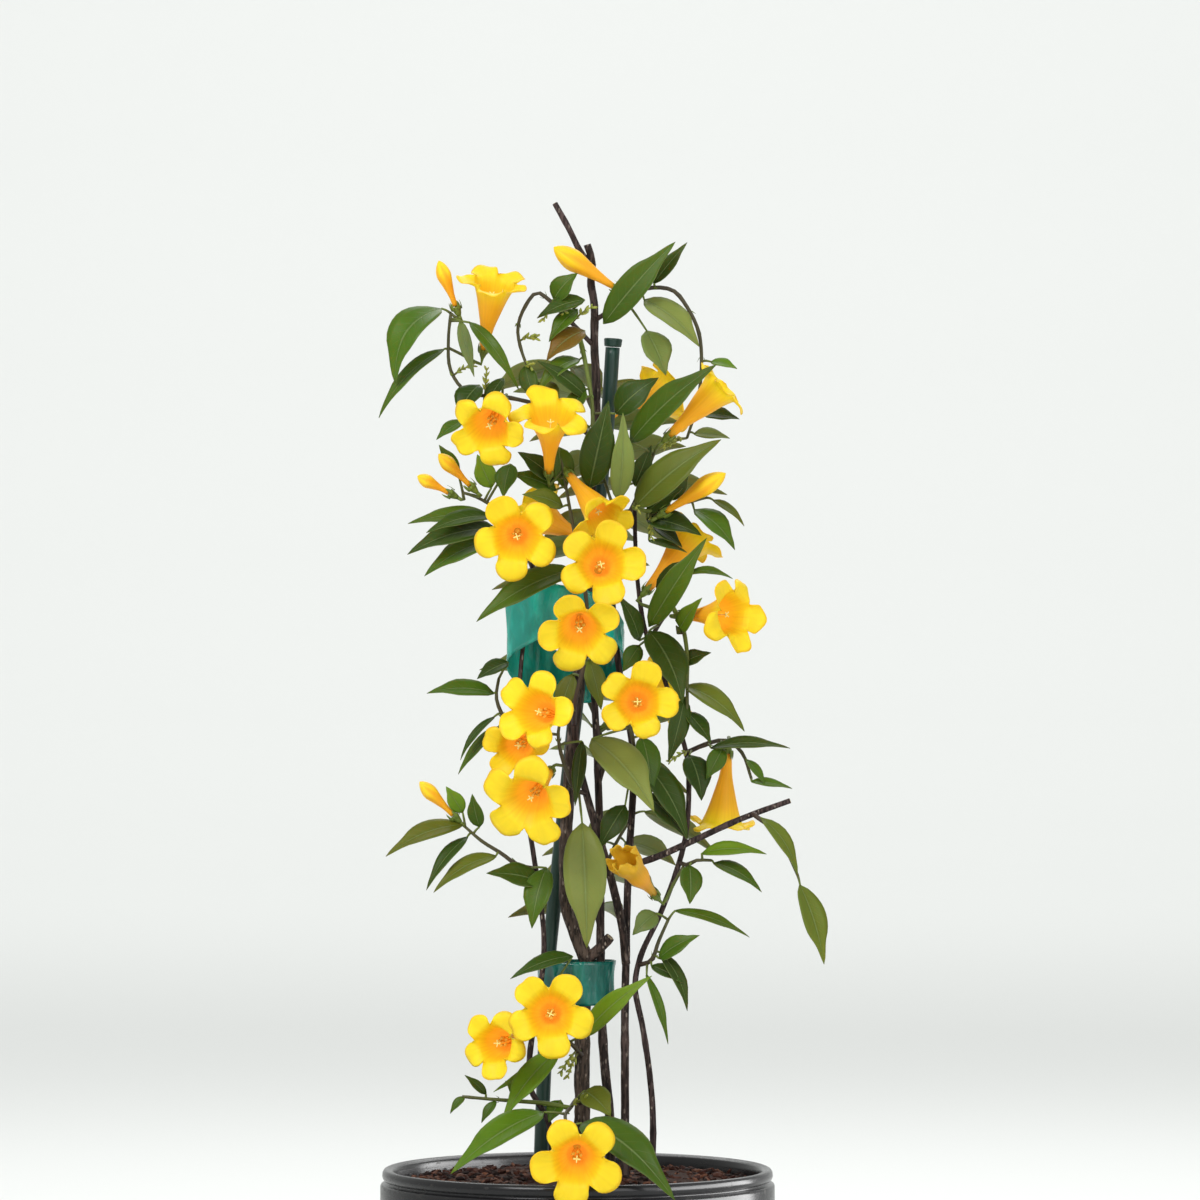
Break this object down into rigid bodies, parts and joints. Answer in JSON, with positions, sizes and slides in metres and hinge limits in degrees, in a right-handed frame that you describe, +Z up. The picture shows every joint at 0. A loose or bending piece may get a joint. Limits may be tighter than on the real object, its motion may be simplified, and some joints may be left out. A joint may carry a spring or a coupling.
{
  "type": "potted flowering vine",
  "caption": "Young twining climber with yellow trumpet flowers and narrow glossy leaves, tied to a stake and rooted in a round nursery pot.",
  "frame": {"origin": "middle of the pot's flat underside", "axes": "+Z up along the stake, -Y the front of the plant, +X to the right seen from the front"},
  "size_m": [0.1877, 0.1787, 0.5665],
  "materials": {
    "pot": "glossy charcoal plastic, lightly scuffed",
    "soil": "matte crumbled bark and peat",
    "stake": "satin dark green plastic coating",
    "tape": "translucent teal tie tape",
    "bark": "matte brown-purple bark with pale lenticels",
    "leaf": "glossy green leaf with a pale midrib",
    "petal": "soft satin yellow petal, orange in the throat"
  },
  "bodies": {
    "root": {"main_stem": "bark", "right_vine": "bark", "outer_vine": "bark", "back_vine": "bark", "left_vine": "bark", "stake": "stake", "stake_cap": "stake", "tie_lower": "tape", "tie_upper": "tape", "pot": "pot", "soil": "soil", "flower_01": "petal", "flower_02": "petal", "flower_03": "petal", "flower_04": "petal", "flower_05": "petal", "flower_06": "petal", "flower_07": "petal", "flower_08": "petal", "flower_09": "petal", "flower_10": "petal", "flower_11": "petal", "flower_12": "petal", "flower_13": "petal", "flower_14": "petal", "flower_15": "petal", "flower_16": "petal", "flower_17": "petal", "flower_18": "petal", "flower_19": "petal", "flower_20": "petal", "flower_21": "petal", "flower_22": "petal", "bud_1": "petal", "bud_2": "petal", "bud_3": "petal", "bud_4": "petal", "bud_5": "petal", "bud_6": "petal", "shoot_top_left": "leaf", "shoot_crown": "leaf", "shoot_top_right": "leaf", "shoot_right_upper": "leaf", "shoot_right_low_mid": "leaf", "shoot_centre": "leaf", "shoot_left_mid": "leaf", "shoot_left_low": "leaf", "shoot_front_low": "leaf", "shoot_far_left": "leaf", "shoot_centre_right": "leaf", "shoot_right_low": "leaf", "shoot_twig": "leaf", "shoot_drooping": "leaf", "shoot_low_right": "leaf", "shoot_bottom_left": "leaf", "shoot_bottom_front": "leaf", "shoot_back_1": "leaf", "shoot_back_2": "leaf", "shoot_back_3": "leaf", "shoot_back_4": "leaf"}
  },
  "joints": []
}
